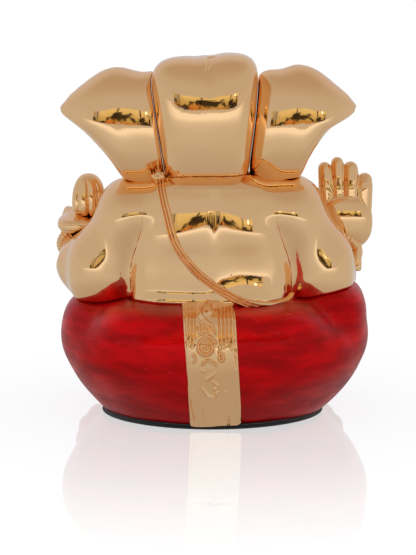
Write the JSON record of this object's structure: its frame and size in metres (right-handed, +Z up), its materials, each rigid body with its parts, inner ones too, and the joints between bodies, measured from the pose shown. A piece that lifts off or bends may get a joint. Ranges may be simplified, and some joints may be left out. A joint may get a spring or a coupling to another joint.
{
  "type": "ganesha idol",
  "caption": "Seated elephant-headed devotional figurine in polished copper-gold with a red enamelled dhoti, one palm raised and one holding a sweet, on a flat felt pad.",
  "frame": {"origin": "centre of the felt pad's underside, the face that the figure stands on", "axes": "+Z up; the figure faces -Y, so its back is towards +Y; +X is towards the figure's own left hand"},
  "size_m": [0.0883, 0.0795, 0.0997],
  "materials": {
    "gilt": "mirror-polished copper-gold plating over slip-cast ceramic",
    "red_enamel": "translucent brushed red enamel, glossy, with faint brush streaks",
    "felt": "black felt, matte, short nap"
  },
  "bodies": {
    "root": {"base_pad": "felt", "seat_shell": "red_enamel", "torso_shell": "gilt", "head_shell": "gilt", "left_ear": "gilt", "right_ear": "gilt", "left_arm": "gilt", "right_arm": "gilt", "raised_hand": "gilt", "offering_hand": "gilt", "left_bangle": "gilt", "right_bangle": "gilt", "bangle_tail": "gilt", "modak": "gilt", "trunk": "gilt", "left_tusk": "gilt", "right_tusk": "gilt", "forehead_tilak": "gilt", "sacred_thread": "gilt", "back_sash": "gilt", "front_sash": "gilt", "left_foot": "gilt", "right_foot": "gilt"}
  },
  "joints": []
}
